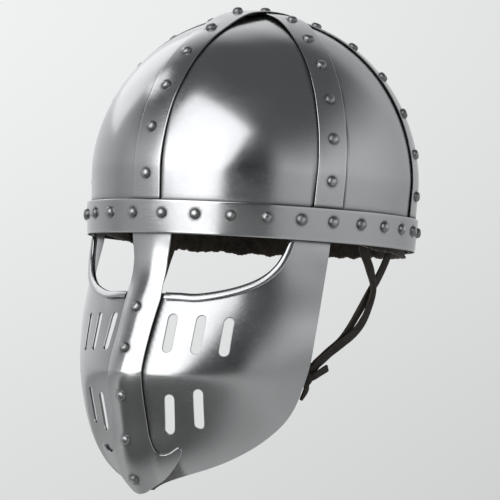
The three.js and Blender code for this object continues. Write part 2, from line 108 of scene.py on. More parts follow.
LINER_LOW, LINER_HIGH, LINER_FRONT_LIFT = -3.0, 26.0, 5.0
LINER_HALF_WIDTH, LINER_FRONT, LINER_REAR = 96.0, 106.8, 105.2
THONG_SPACING, CHIN_FOLD = 0.9, (0.0, -60.0, -60.0)
THONG_SHIFT, STRAP_ANGLES = 1.6, np.linspace(0, 2 * np.pi, 20, endpoint=False)
FRONT_THONG = [(89.4, -8.5, 9), (89.8, -6.6, -1.5), (88.6, 3.2, -13.2), (87, 10.4, -22.4),
               (86.1, 12.4, -28.6), (85.1, 10.7, -36.8), (84.1, 6.9, -45.7), (83, -0.5, -54.2),
               (81.9, -11, -61), (80.6, -24.5, -69), (79.4, -35, -75.9), (79.3, -37.2, -77.7)]
REAR_THONG = [(88.4, 31.5, 9), (88.5, 29.3, -1.5), (88.2, 24.8, -10.6), (87.4, 20.3, -18.4),
              (86.6, 16.2, -24.4), (85.8, 11.8, -30.5), (85, 6.5, -38.3), (84.1, 1, -46.1),
              (83, -5, -54.4), (81.9, -11.5, -61.4), (80.8, -22, -68.6), (79.4, -33, -76.2),
              (79.1, -35.4, -78.3)]
KNOT_CENTRE, KNOT_ENTRY = (77.5, -45.2, -86.2), (78.3, -42.2, -82.2)
LOOSE_END = [(79, -45.5, -87), (82, -41.8, -85), (83.7, -36, -81.8), (84.2, -29.6, -78.8)]
TUCKED_END = [(77.5, -44.5, -87.5), (79.4, -44.6, -92.6), (78.4, -48.4, -99.9)]
CHIN_THONG = [(74, -47.5, -94), (68, -56, -104), (56, -66, -115), (40, -74, -123.5),
              (20, -79, -128.5), (0, -80.5, -130)]

# ------------------------------------------------------------------ settings


def size(label, text, value, low, high):
    return bpy.props.FloatProperty(name=label, description=text, default=value, min=low,
                                   max=high, unit="LENGTH")


def colour(label, text, value):
    return bpy.props.FloatVectorProperty(name=label, description=text, default=value, size=3,
                                         min=0, max=1, subtype="COLOR")


def share(label, text, value):
    return bpy.props.FloatProperty(name=label, description=text, default=value, min=0, max=1,
                                   subtype="FACTOR")


def count(label, text, value, low, high):
    return bpy.props.IntProperty(name=label, description=text, default=value, min=low, max=high)


class HelmetFrameSizes(bpy.types.PropertyGroup):
    hoop_width: size("Hoop width", "Width of each riveted hoop", 0.0208, 0.01, 0.04)
    brow_height: size("Brow band height", "Height of the brow band", 0.0211, 0.01, 0.05)
    edge_round: size("Edge rounding", "Radius of the filed strap edges", 0.0005, 0, 0.0006)
    rivet_radius: size("Rivet radius", "Radius of a rivet head", 0.0034, 0.002, 0.006)
    rivet_height: size("Rivet height", "Height of a rivet head", 0.0026, 0.001, 0.004)
    brow_rivets: count("Brow rivets", "Rivets around the brow band", 30, 6, 60)
    arm_rivets: count("Arm rivets", "Rivets along each arm of a hoop", 6, 2, 12)
    plate_wave: size("Plate wave", "Unevenness left by the planishing hammer", 0.00016, 0, 0.0006)


class HelmetFaceSizes(bpy.types.PropertyGroup):
    ridge_rise: size("Ridge rise", "Height of the ridge down the centre strip", 0.0042, 0, 0.01)
    crease_rise: size("Crease rise", "How far the bend across the cheek stands out", 0.0016, 0,
                      0.004)
    lip_reach: size("Lip reach", "Width of the turned lip of the eye openings", 0.0045, 0.001,
                    0.008)
    lip_stand: size("Lip stand", "How far the lip's free edge stands off", 0.0026, 0, 0.005)


class HelmetLeatherSizes(bpy.types.PropertyGroup):
    thong_width: size("Thong width", "Width of the leather thong", 0.0065, 0.003, 0.015)
    thickness: size("Leather thickness", "Thickness of thong and lining", 0.002, 0.001, 0.004)
    ragged: size("Ragged edge", "Unevenness of the lining's cut edge", 0.0012, 0, 0.004)


class HelmetFinish(bpy.types.PropertyGroup):
    crown_steel: colour("Crown steel", "Colour of the dome plates", (0.60, 0.61, 0.625))
    frame_steel: colour("Frame steel", "Colour of hoops, bands and rivets", (0.62, 0.63, 0.64))
    face_steel: colour("Face steel", "Colour of the face plates", (0.60, 0.61, 0.62))
    polish: share("Roughness", "Roughness of the satin polish", 0.19)
    # The joint colour stands for dark film and for painted shade in the gaps.
    joint_grime_and_shade: colour("Joint grime", "Colour of the dark film in the joints",
                        (0.035, 0.033, 0.03))
    suede: colour("Suede", "Colour of the lining band", (0.036, 0.029, 0.022))
    leather: colour("Thong leather", "Colour of the thong's grain side", (0.020, 0.0165, 0.0125))
    worn_leather: colour("Worn leather", "Colour of rubbed leather edges", (0.10, 0.08, 0.06))


class HelmetStage(bpy.types.PropertyGroup):
    floor: colour("Floor", "Colour of the floor", (0.86, 0.86, 0.85))
    surroundings: colour("Surroundings", "Tint of the studio walls", (0.985, 0.995, 1.0))
    softbox: bpy.props.FloatProperty(name="Softbox", description="Brightness of the main lamp",
                                     default=34, min=0, unit="POWER")


# ------------------------------------------------------------------ numbers and curves


def smooth(low, high, value):
    """0 below low, 1 above high, and an even curve between."""
    t = np.clip((np.asarray(value, float) - low) / (high - low), 0, 1)
    return t * t * (3 - 2 * t)


def unit(vectors):
    return vectors / np.maximum(np.linalg.norm(vectors, axis=-1, keepdims=True), 1e-9)


def waves(points, lengths, seed):
    """A gentle uneven field from -1 to 1 with the given wavelengths."""
    draw = np.random.default_rng(seed)
    total = np.zeros(points.shape[:-1])
    for length in lengths:
        way = unit(draw.normal(size=3))
        total += np.sin(points @ way * 2 * np.pi / length + draw.uniform(0, 2 * np.pi))
    return total / len(lengths)


def spline(points, spacing):
    """Points evenly spaced along a smooth curve through the given ones."""
    p = np.array(points, float)
    p = np.vstack([2 * p[0] - p[1], p, 2 * p[-1] - p[-2]])
    t = np.linspace(0, 1, 24, endpoint=False)[:, None]
    parts = [0.5 * (2 * b + (c - a) * t + (2 * a - 5 * b + 4 * c - d) * t ** 2
                    + (3 * b - a - 3 * c + d) * t ** 3)
             for a, b, c, d in zip(p[:-3], p[1:-2], p[2:-1], p[3:])]
    return evenly(np.vstack(parts + [p[-2:-1]]), spacing)


def distances(line):
    """How far along the line each of its points lies."""
    return np.concatenate([[0], np.cumsum(np.linalg.norm(np.diff(line, axis=0), axis=1))])


def evenly(line, spacing):
    """The same line with points about spacing apart."""
    along = distances(line)
    at = np.linspace(0, along[-1], max(2, int(round(along[-1] / spacing)) + 1))
    return np.stack([np.interp(at, along, line[:, k]) for k in range(line.shape[1])], axis=1)


# ------------------------------------------------------------------ dome surface


def plan_share(z):
    down = np.clip((WALL_TOP - z) / WALL_TOP, 0, None)
    up = np.clip((z - WALL_TOP) / (DOME_HEIGHT - WALL_TOP), 0, 1)
    wall = 1 - BROW_PULL / HALF_WIDTH * down ** 1.2
    return np.where(z <= WALL_TOP, wall, (1 - up ** RISE_POWER) ** (1 / PLAN_POWER))


def on_skull(aim, offset=0.0):
    """Points of the dome, moved out by offset, straight out towards the points of aim."""
    aim = np.asarray(aim, float)
    x, y, z = aim[..., 0], aim[..., 1], aim[..., 2]
    offset = np.broadcast_to(offset, x.shape)
    a = HALF_WIDTH + offset
    b = np.where(y < 0, FRONT_REACH, REAR_REACH) + offset
    plan = np.hypot(x / a, y / b)
    wall = z <= WALL_TOP
    height = np.where(wall, 0, z - WALL_TOP)
    reach = plan ** PLAN_POWER
    lift = (height / (DOME_HEIGHT + offset - WALL_TOP)) ** RISE_POWER
    low = np.zeros(x.shape)
    high = 2 * DOME_HEIGHT / np.maximum(np.sqrt(x * x + y * y + height ** 2), 1e-9)
    for _ in range(44):
        middle = (low + high) / 2
        inside = reach * middle ** PLAN_POWER + lift * middle ** RISE_POWER < 1
        low, high = np.where(inside, middle, low), np.where(inside, high, middle)
    k = np.where(wall, plan_share(z) / np.maximum(plan, 1e-9), low)
    return np.stack([x * k, y * k, np.where(wall, z, WALL_TOP + height * k)], axis=-1)


def bearing_vector(degrees):
    turn = np.radians(degrees)
    return np.stack([np.sin(turn), -np.cos(turn), np.zeros(np.shape(turn))], axis=-1)


def meridian_aim(degrees, along):
    """Where a meridian of the dome is aimed at: brow is 0, crown is 1."""
    degrees, along = np.broadcast_arrays(np.asarray(degrees, float), np.asarray(along, float))
    flat = bearing_vector(degrees)
    turn = (along - WALL_SHARE) / (1 - WALL_SHARE) * np.pi / 2
    on_wall = along < WALL_SHARE
    reach = np.where(on_wall, 1.0, np.cos(turn))
    height = np.where(on_wall, WALL_TOP * along / WALL_SHARE, WALL_TOP + np.sin(turn) + 1e-9)
    return np.concatenate([flat[..., :2] * reach[..., None], height[..., None]], axis=-1)


def hoop_point(hoop, along, across, offset):
    """A point of a hoop: along runs from 0 to 1 end to end, across from its centre line."""
    along, across, offset = np.broadcast_arrays(
        *(np.asarray(v, float) for v in (along, across, offset)))
    first = along < 0.5
    to_crown = np.where(first, 2 * along, 2 - 2 * along)
    degrees = np.where(first, hoop.bearing, hoop.bearing + 180.0)
    share_up = HOOP_FOOT_SHARE + (1 - HOOP_FOOT_SHARE) * to_crown
    base = on_skull(meridian_aim(degrees, share_up))
    reach = np.hypot(base[..., 0], base[..., 1])
    lift = hoop.level * HOOP_LAYER * (1 - smooth(CROSSING_INNER, CROSSING_OUTER, reach))
    aside = across + hoop.miss + np.where(first, hoop.bow * np.sin(np.pi * to_crown), 0)
    sideways = bearing_vector(hoop.bearing + 90.0) * aside[..., None]
    aim = bearing_vector(degrees) * reach[..., None] + sideways
    aim[..., 2] = base[..., 2]
    return on_skull(aim, offset + lift)


def hoop_rivets(hoop, per_arm):
    """Places and outward directions of a hoop's rivets."""
    shares = np.linspace(0, 0.5, 401)
    line = hoop_point(hoop, shares, 0, 0)
    first = int(np.argmax(line[:, 2] >= hoop.lowest))
    last = int(np.argmax(np.hypot(line[:, 0], line[:, 1]) <= hoop.highest))
    run = distances(line[first:last + 1])
    arm = np.interp(np.linspace(0, run[-1], per_arm), run, shares[first:last + 1])
    crown = [0.5] if hoop.level == len(HOOPS) - 1 else []
    at = np.concatenate([arm, 1 - arm, crown])
    foot = hoop_point(hoop, at, 0, HOOP_LAYER)
    return foot, unit(hoop_point(hoop, at, 0, HOOP_LAYER + 4) - foot)


def brow_rivets(number):
    """Rivets evenly spaced along the band, with the front middle between two of them."""
    bearings = np.linspace(-180, 180, 1441)
    ring = on_skull(bearing_vector(bearings) + (0, 0, BROW_RIVET_HEIGHT), BROW_LAYER)
    run = distances(ring)
    at = np.interp(0, bearings, run) + (np.arange(number) - (number - 1) / 2) * run[-1] / number
    flat = bearing_vector(np.interp(at, run, bearings))
    return on_skull(flat + (0, 0, BROW_RIVET_HEIGHT), BROW_LAYER), flat


# ------------------------------------------------------------------ face surface


def face_table():
    """Section values every half millimetre of height, softened."""
    knots = FACE_SECTIONS[:, 0]
    heights = np.arange(knots[0], knots[-1] + 0.01, 0.5)
    i = np.clip(np.searchsorted(knots, heights, side="right") - 1, 0, len(knots) - 2)
    step = (knots[i + 1] - knots[i])[:, None]
    values = FACE_SECTIONS[:, 1:]
    slopes = np.vstack([
        (values[1] - values[0]) / (knots[1] - knots[0]),
        (values[2:] - values[:-2]) / (knots[2:] - knots[:-2])[:, None],
        (values[-1] - values[-2]) / (knots[-1] - knots[-2])])
    f = (heights - knots[i])[:, None] / step
    rows = ((2 * f ** 3 - 3 * f ** 2 + 1) * values[i] + (3 * f ** 2 - 2 * f ** 3) * values[i + 1]
            + ((f ** 3 - 2 * f ** 2 + f) * slopes[i] + (f ** 3 - f ** 2) * slopes[i + 1]) * step)
    half, softness = 24, 7.0
    kernel = np.exp(-0.5 * (np.arange(-half, half + 1) / softness) ** 2)
    kernel /= kernel.sum()
    padded = np.vstack([2 * rows[0] - rows[half:0:-1], rows,
                        2 * rows[-1] - rows[-2:-half - 2:-1]])
    soft = np.stack([np.convolve(padded[:, k], kernel, "valid") for k in range(5)], axis=1)
    return heights, soft


FACE_HEIGHTS, FACE_VALUES = face_table()


def face_values(z):
    return [np.interp(z, FACE_HEIGHTS, FACE_VALUES[:, k]) for k in range(5)]


def face_point(z, turn):
    """The bare face surface: turn is the angle round the section, 0 straight ahead."""
    side, front, back, power, _ = face_values(z)
    x = side * np.sin(turn) ** (2 / power)
    y = back + (front - back) * np.cos(turn) ** (2 / power)
    return np.stack([x, y, np.broadcast_to(z, x.shape)], axis=-1)


def face_turn(z, x):
    side, _, _, power, _ = face_values(z)
    return np.arcsin(np.clip(x / side, 0, 1) ** (power / 2))


def crease(x, z, rise):
    """How far the bend across the cheeks stands out: crisp at the strip, soft to the rear."""
    x = np.abs(x)
    soft = 0.8 + 8 * smooth(12, 75, x)
    away = np.hypot(z - CREASE_HEIGHT, soft) - soft
    return rise * (1 - 0.75 * smooth(15, 95, x)) * np.exp(-away / CREASE_SPREAD)


def face_surface(domain, rise, wave, seed):
    """Finished outer face: domain is (100 times the turn in radians, height)."""
    turn, z = domain[:, 0] / 100, domain[:, 1]
    step = 0.004
    bare = face_point(z, turn)
    around = face_point(z, turn + step) - face_point(z, np.maximum(turn - step, 1e-4))
    down = face_point(z - 0.5, turn) - face_point(z + 0.5, turn)
    out = unit(np.cross(down, around))
    relief = crease(bare[:, 0], z, rise) + wave * waves(bare, (34, 47, 63, 29, 85), seed)
    return bare + out * relief[:, None]


def strip_surface(domain, sizes):
    """Outer face of the centre strip: domain is (x, height) seen from the front."""
    x, z = domain[:, 0], domain[:, 1]
    bare = face_point(z, face_turn(z, np.maximum(np.hypot(x, 1.2) - 0.6, 0.6)))
    away = np.hypot(x, RIDGE_SOFTNESS) - RIDGE_SOFTNESS
    slope = 1 - np.clip(away / RIDGE_WIDTH, 0, 1) ** FLANK_POWER
    ridge = sizes.ridge_rise / MM * smooth(0, RIDGE_FULL, -z) * slope
    proud = STRIP_STAND + FRAME_GAUGE + ridge + crease(x, z, sizes.crease_rise / MM)
    return np.stack([x, bare[:, 1] - proud, z], axis=-1)


def normals_of(surface, domain):
    """Outward normals of a surface given over a flat domain."""
    step = 0.25
    h, v = np.array([step, 0.0]), np.array([0.0, step])
    around = surface(domain + h) - surface(domain - h)
    up = surface(domain + v) - surface(domain - v)
    return unit(np.cross(around, up))


# ------------------------------------------------------------------ mesh building


def loft(loops, closed_path=False):
    """Skin over closed section loops (rows, points, 3), capped at the ends if open."""
    rows, around, _ = loops.shape
    index = np.arange(rows * around).reshape(rows, around)
    a = index if closed_path else index[:-1]
    b = np.roll(index, -1, axis=0) if closed_path else index[1:]
    quads = np.stack([a, b, np.roll(b, -1, axis=1), np.roll(a, -1, axis=1)], axis=-1)
    faces = quads.reshape(-1, 4).tolist()
    if not closed_path:
        faces += [index[0][::-1].tolist(), index[-1].tolist()]
    return loops.reshape(-1, 3), faces


def rounded_bar(half_width, low, high, radius, spans):
    """Closed section of a flat bar with rounded edges, as (across, height) pairs."""
    flat = np.linspace(-half_width + radius + 0.25, half_width - radius - 0.25, spans + 1)
    corner = np.radians([0, 30, 60, 90])
    right = [(half_width - radius + radius * math.sin(c), high - radius + radius * math.cos(c))
             for c in corner]
    top = [(-x, h) for x, h in right[::-1]] + [(x, high) for x in flat] + right
    section = top + [(x, low + high - h) for x, h in top[::-1]]
    return np.array([p for p, q in zip(section, section[-1:] + section) if math.dist(p, q) > 1e-4])


def inside(points, loop):
    """True for points of the plane that lie within a closed loop."""
    a, b = loop, np.roll(loop, -1, axis=0)
    x, y = points[:, None, 0], points[:, None, 1]
    spans = (a[None, :, 1] > y) != (b[None, :, 1] > y)
    rise = np.where(b[:, 1] == a[:, 1], 1e-9, b[:, 1] - a[:, 1])
    cross = a[None, :, 0] + (y - a[None, :, 1]) / rise[None] * (b[:, 0] - a[:, 0])[None]
    return (spans & (x < cross)).sum(axis=1) % 2 == 1


def fill(outline, holes, columns, rows):
    """Triangles that fill an outline but not its holes, on a staggered lattice."""
    grid = np.array([(x + (0.5 * (columns[1] - columns[0]) if r % 2 else 0), z)
                     for r, z in enumerate(rows) for x in columns])
    loops = [outline, *holes]
    clear = inside(grid, outline)
    for hole in holes:
        clear &= ~inside(grid, hole)
    grid = grid[clear]
    rim = np.vstack(loops)
    near = np.array([np.min(np.hypot(*(rim - p).T)) for p in grid])
    points = [Vector(p) for p in rim] + [Vector(p) for p in grid[near > 0.8]]
    edges, start = [], 0
    for loop in loops:
        edges += [(start + i, start + (i + 1) % len(loop)) for i in range(len(loop))]
        start += len(loop)
    places, _, triangles, *_ = delaunay_2d_cdt(points, edges, [], 0, 1e-5)
    places, triangles = np.array([tuple(p) for p in places]), np.array(triangles)
    middle = places[triangles].mean(axis=1)
    keep = inside(middle, outline)
    for hole in holes:
        keep &= ~inside(middle, hole)
    used, triangles = np.unique(triangles[keep], return_inverse=True)
    return places[used], triangles.reshape(-1, 3)


def plate(surface, domain, triangles, thickness):
    """A sheet with true thickness and rounded rims, with a normal for every point."""
    points, out = surface(domain), normals_of(surface, domain)
    a, b, c = (points[triangles[:, k]] for k in range(3))
    flipped = (np.cross(b - a, c - a) * out[triangles[:, 0]]).sum(axis=1) < 0
    triangles = np.where(flipped[:, None], triangles[:, ::-1], triangles)
    sides = np.vstack([triangles[:, [0, 1]], triangles[:, [1, 2]], triangles[:, [2, 0]]])
    known = {tuple(s) for s in sides.tolist()}
    edge = [s for s in known if (s[1], s[0]) not in known]
    after, before = dict(edge), {q: p for p, q in edge}
    border = sorted(after)
    turn = {p: i for i, p in enumerate(border)}
    tangent = unit(points[[after[p] for p in border]] - points[[before[p] for p in border]])
    away = unit(np.cross(tangent, out[border]))
    bends = np.radians([30, 60, 90])
    rings = [(RIM * math.sin(t), RIM * (1 - math.cos(t)), t) for t in bends]
    rings += [(r, thickness - d, math.pi - t) for r, d, t in rings[::-1]]
    stack, facing, ring_start = [points], [out], []
    total = len(points)
    for reach, depth, bend in rings:
        ring_start.append(total)
        stack.append(points[border] + away * reach - out[border] * depth)
        facing.append(away * math.sin(bend) + out[border] * math.cos(bend))
        total += len(border)
    stack.append(points - out * thickness)
    facing.append(-out)
    faces = triangles.tolist() + (triangles[:, ::-1] + total).tolist()
    levels = [lambda p: p] + [lambda p, s=s: s + turn[p] for s in ring_start]
    levels.append(lambda p: total + p)
    for upper, lower in zip(levels, levels[1:]):
        faces += [(upper(q), upper(p), lower(p), lower(q)) for p, q in edge]
    return np.vstack(stack), faces, unit(np.vstack(facing))


def ribbon(path, widths, thickness, facing, twist=None):
    """Section loops of a flat strap along a path, with soft edges."""
    along = unit(np.gradient(path, axis=0))
    out = unit(facing - (facing * along).sum(axis=1, keepdims=True) * along)
    across = np.cross(along, out)
    if twist is not None:
        c, s = np.cos(twist)[:, None], np.sin(twist)[:, None]
        out, across = out * c + across * s, across * c - out * s
    c, s = np.cos(STRAP_ANGLES), np.sin(STRAP_ANGLES)
    u, v = np.sign(c) * np.abs(c) ** 0.45, np.sign(s) * np.abs(s) ** 0.6
    widths = np.broadcast_to(widths, len(path))[:, None, None]
    thickness = np.broadcast_to(thickness, len(path))[:, None, None]
    return (path[:, None] + across[:, None] * u[None, :, None] * widths / 2
            + out[:, None] * v[None, :, None] * thickness / 2)


def rivet_mesh(feet, ways, seed):
    """Domed heads, each a little different, with a short shank sunk into the band."""
    sizes = bpy.context.scene.helmet_frame
    radius, height = sizes.rivet_radius / MM, sizes.rivet_height / MM
    draw = np.random.default_rng(seed)
    around, skirt, clench = 24, 0.18, 0.6
    turns = np.arange(around) * 2 * np.pi / around
    bend = np.linspace(0, np.pi / 2, 9)[:-1]
    heads = [(radius, -clench)] + [(radius * math.cos(t) ** 0.8, skirt + (height - skirt)
                                    * math.sin(t) ** 0.85) for t in bend]
    points, faces = [], []
    for foot, way in zip(feet, ways):
        side = unit(np.cross(way, (0.3, 0.2, 1.0)))
        other = np.cross(way, side)
        grow, lean = 1 + draw.normal() * 0.025, draw.normal(size=2) * 0.09
        rise = 1 + draw.normal() * 0.05
        spin = draw.uniform(0, 2 * np.pi)
        start = len(points)
        flats = 1 - 0.012 * np.cos(turns * 7 + spin)
        for r, h in heads:
            reach = r * grow * flats
            drift = lean * max(h, 0) / height
            points += list(foot + way * h * rise + np.outer(np.cos(turns) * reach + drift[0], side)
                           + np.outer(np.sin(turns) * reach + drift[1], other))
        points.append(foot + way * height * rise + side * lean[0] + other * lean[1])
        index = start + np.arange(len(heads) * around).reshape(len(heads), around)
        for low, high in zip(index, index[1:]):
            faces += [(low[i], low[(i + 1) % around], high[(i + 1) % around], high[i])
                      for i in range(around)]
        faces += [(index[-1][i], index[-1][(i + 1) % around], len(points) - 1)
                  for i in range(around)]
        faces.append(tuple(index[0][::-1]))
    return np.array(points), faces


def add_piece(name, shape, look, slot, *nodes, **marks):
    """Puts a piece into the scene, riding on the helmet's one body.

    shape is points in mm, faces and, where they are known, normals. marks are soft values
    from 0 to 1 that the finishes read.
    """
    points, faces, *facing = shape
    mesh = bpy.data.meshes.new(name)
    mesh.from_pydata((points * MM).tolist(), [], faces)
    if not facing:
        work = bmesh.new()
        work.from_mesh(mesh)
        bmesh.ops.recalc_face_normals(work, faces=work.faces)
        work.to_mesh(mesh)
        work.free()
    mesh.shade_smooth()
    if facing:
        mesh.normals_split_custom_set_from_vertices(facing[0].tolist())
    else:
        mesh.set_sharp_from_angle(angle=math.radians(48))
    for label, values in marks.items():
        layer = mesh.attributes.new(label, "FLOAT", "POINT")
        layer.data.foreach_set("value", np.clip(values, 0, 1).astype(np.float32))
    if not mesh.polygons or mesh.validate():
        raise RuntimeError(f"{name} has faulty faces")
    mesh.materials.append(finish(look))
    piece = bpy.data.objects.new(name, mesh)
    bpy.context.scene.collection.objects.link(piece)
    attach(piece, "root")
    if nodes:
        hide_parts(*nodes)
    return piece


def mirrored(points, faces, *normals):
    flip = np.array([-1.0, 1.0, 1.0])
    return points * flip, [tuple(reversed(f)) for f in faces], *(n * flip for n in normals)


def near_rivets(points, feet):
    """1 right against a rivet's edge, falling to 0 just outside it."""
    radius = bpy.context.scene.helmet_frame.rivet_radius / MM
    away = np.full(len(points), 1e9)
    for foot in feet:
        away = np.minimum(away, np.linalg.norm(points - foot, axis=1))
    return 1 - smooth(radius - 0.2, radius + 1.7, away)


# ------------------------------------------------------------------ finishes


class Nodes:
    """Small helper that adds and links shader nodes."""

    def __init__(self, tree):
        self.tree = tree

    def feed(self, node, inputs):
        """Links the sockets and sets the plain values among a node's inputs."""
        for key, value in inputs.items():
            if isinstance(value, bpy.types.NodeSocket):
                self.tree.links.new(value, node.inputs[key])
            else:
                node.inputs[key].default_value = value

    def add(self, kind, inputs=None, **settings):
        node = self.tree.nodes.new(kind)
        for key, value in settings.items():
            setattr(node, key, value)
        self.feed(node, inputs or {})
        return node

    def math(self, operation, a, b=0.0):
        return self.add("ShaderNodeMath", {0: a, 1: b}, operation=operation).outputs[0]

    def span(self, value, low, high, to_low=0.0, to_high=1.0, kind="SMOOTHSTEP"):
        inputs = {"Value": value, "From Min": low, "From Max": high, "To Min": to_low,
                  "To Max": to_high}
        return self.add("ShaderNodeMapRange", inputs, interpolation_type=kind).outputs[0]

    def mix(self, factor, a, b, blend="MIX"):
        a, b = (c if isinstance(c, bpy.types.NodeSocket) else (*c, 1) for c in (a, b))
        return self.add("ShaderNodeMix", {0: factor, 6: a, 7: b}, data_type="RGBA",
                        blend_type=blend).outputs[2]

    def noise(self, where, scale, detail=3.0, rough=0.5):
        inputs = {"Vector": where, "Scale": scale, "Detail": detail, "Roughness": rough}
        return self.add("ShaderNodeTexNoise", inputs).outputs["Fac"]

    def mark(self, label):
        return self.add("ShaderNodeAttribute", attribute_name=label).outputs["Fac"]

    def bump(self, strength, depth, height):
        inputs = {"Strength": strength, "Distance": depth, "Height": height}
        return self.add("ShaderNodeBump", inputs).outputs[0]


def new_finish(name):
    """An empty finish: its material, node helper, shader and object coordinates."""
    material = bpy.data.materials.new(name)
    material.use_nodes = True
    material.node_tree.nodes.clear()
    n = Nodes(material.node_tree)
    shader = n.add("ShaderNodeBsdfPrincipled")
    n.add("ShaderNodeOutputMaterial", {0: shader.outputs[0]})
    return material, n, shader, n.add("ShaderNodeTexCoord").outputs["Object"]


def times(factor, tone):
    return [min(factor * c, 1) for c in tone]


def steel_finish(name, tone, grime, roughness, brush_turn, brush):
    """Satin-polished steel: fine brush lines, faint clouding, dark film and painted shade in the
    joints, worn edges with a painted highlight.
    """
    material, n, shader, where = new_finish(name)

    def brushed(turn, squeeze, scale, detail, rough):
        inputs = {"Vector": where, "Rotation": turn, "Scale": (1.0, squeeze, squeeze)}
        return n.noise(n.add("ShaderNodeMapping", inputs).outputs[0], scale, detail, rough)

    lines = brushed(brush_turn, 14.0, 90, 4, 0.62)
    cross = brushed((0.7, 0.4, 1.1), 20.0, 60, 3, 0.55)
    cloud = n.noise(where, 22, 4, 0.55)
    specks = n.noise(where, 900, 2, 0.6)
    worn_and_highlight = n.mark("wear")
    # Dark film and painted shade: the joint mark pulls the colour towards the joint colour.
    film_and_shade = n.math("MULTIPLY", n.mark("grime"), n.span(cloud, 0.25, 0.6, 0.55, 1.0))
    clean = n.mix(n.span(cloud, 0.52, 0.8, 0.0, 0.16), tone, times(0.72, tone))
    clean = n.mix(n.span(lines, 0.35, 0.7, 0.0, 0.10), clean, times(1.12, tone))
    # Rubbed wear and painted highlight: the wear mark lightens the colour and smooths it.
    clean = n.mix(n.math("MULTIPLY", worn_and_highlight, 0.5), clean, times(1.25, tone))
    satin = n.math("ADD", n.span(lines, 0.2, 0.8, roughness - 0.05, roughness + 0.07, "LINEAR"),
                   n.span(cloud, 0.3, 0.75, -0.035, 0.05))
    satin = n.math("ADD", satin, n.math("MULTIPLY", film_and_shade, 0.28))
    relief = n.math("ADD", n.math("MULTIPLY", lines, 0.5),
                    n.math("ADD", n.math("MULTIPLY", cross, 0.3), n.math("MULTIPLY", specks, 0.2)))
    n.feed(shader, {"Base Color": n.mix(film_and_shade, clean, grime), "Metallic": 1.0,
                    "Roughness": n.math("SUBTRACT", satin, n.math("MULTIPLY", worn_and_highlight, 0.06)),
                    "Normal": n.bump(0.35, 0.00006 * brush, relief)})
    return material


def suede_finish(name, tone):
    """Napped split leather, darker where the nap lies down."""
    material, n, shader, where = new_finish(name)
    nap = n.noise(where, 260, 5, 0.7)
    rub = n.noise(where, 38, 3, 0.6)
    base = n.mix(n.span(rub, 0.35, 0.7), times(0.55, tone), times(1.7, tone))
    base = n.mix(n.span(nap, 0.4, 0.75, 0.0, 0.6), base, times(2.6, tone))
    base = n.mix(n.math("MULTIPLY", n.mark("wear"), 0.7), base, times(3.2, tone))
    n.feed(shader, {"Base Color": base, "Roughness": 0.95, "Sheen Weight": 0.35,
                    "Sheen Roughness": 0.5, "Specular IOR Level": 0.2,
                    "Normal": n.bump(0.9, 0.0005, nap)})
    return material


def leather_finish(name, tone, worn_tone):
    """Dark greased thong leather with pores, creases and rubbed pale edges."""
    material, n, shader, where = new_finish(name)
    pores = n.add("ShaderNodeTexVoronoi", {"Vector": where, "Scale": 900.0}).outputs["Distance"]
    folds = n.noise(where, 160, 5, 0.6)
    rub = n.noise(where, 70, 4, 0.6)
    edge = n.math("MULTIPLY", n.mark("wear"), n.span(rub, 0.3, 0.62, 0.25, 1.0))
    base = n.mix(n.span(folds, 0.35, 0.7), tone, times(2.0, tone))
    relief = n.math("ADD", n.math("MULTIPLY", pores, 0.5), folds)
    n.feed(shader, {"Base Color": n.mix(edge, base, worn_tone), "Specular IOR Level": 0.4,
                    "Roughness": n.span(rub, 0.3, 0.7, 0.5, 0.72),
                    "Normal": n.bump(0.7, 0.0003, relief)})
    return material


# colour setting, roughness beyond the polish, turn and depth of the brush lines
STEELS = {
    "crown_satin": ("crown_steel", 0.0, (0.2, 1.1, 0.3), 1.0),
    "hoop_satin": ("frame_steel", 0.02, (0.0, 0.0, 0.8), 1.0),
    "brow_satin": ("frame_steel", 0.0, (0.0, 0.0, 0.0), 0.8),
    "face_satin": ("face_steel", 0.01, (0.0, 1.3, 0.2), 1.0),
    "rivet_steel": ("frame_steel", 0.05, (0.5, 0.5, 0.5), 1.0),
}


def finish(name):
    """Gets a finish by name, and makes it the first time it is asked for."""
    if name in bpy.data.materials:
        return bpy.data.materials[name]
    f = bpy.context.scene.helmet_finish
    if name in STEELS:
        tone, rougher, turn, brush = STEELS[name]
        return steel_finish(name, tuple(getattr(f, tone)), tuple(f.joint_grime_and_shade),
                            f.polish + rougher, turn, brush)
    if name == "suede_nap":
        return suede_finish(name, tuple(f.suede))
    if name == "thong_leather":
        return leather_finish(name, tuple(f.leather), tuple(f.worn_leather))
    raise ValueError(f"no finish is called {name}")


# ------------------------------------------------------------------ pieces


def add_rivets(name, feet, ways, seed):
    """One band's rivets: a painted shade ring where the heads meet the band, and lighter on top,
    rubbed wear with a painted highlight.
    """
    points, faces = rivet_mesh(feet, ways, seed)
    centres = np.repeat(feet, len(points) // len(feet), axis=0)
    reach = np.linalg.norm(points - centres, axis=1)
    add_piece(name, (points, faces), "rivet_steel", "frame_steel",
              grime=0.6 * smooth(2.6, 3.3, reach), wear=0.8 * (1 - smooth(2.2, 2.9, reach)))


def joint_film_and_shade_mark(points, sizes, level=-1):
    """Dark film and painted shade on a face of the dome where a hoop above it or the brow band
    ends.
    """
    mark = 1 - smooth(0.2, 2.6, points[:, 2] - sizes.brow_height / MM)
    height = np.clip(points[:, 2] - WALL_TOP, 0, None)
    rise = np.arctan2(height, np.hypot(points[:, 0], points[:, 1]) * 0.95)
    to_crown = np.where(points[:, 2] < WALL_TOP, WALL_SHARE * points[:, 2] / WALL_TOP,
                        WALL_SHARE + (1 - WALL_SHARE) * rise / (np.pi / 2))
    for hoop in HOOPS[level + 1:]:
        sideways, along = bearing_vector(hoop.bearing + 90.0), bearing_vector(hoop.bearing)
        bow = np.where(points @ along > 0, hoop.bow * np.sin(np.pi * to_crown), 0)
        aside = np.abs(points @ sideways - hoop.miss - bow) - sizes.hoop_width / MM / 2
        mark = np.maximum(mark, 1 - smooth(0.3, 2.1, aside))
    return mark


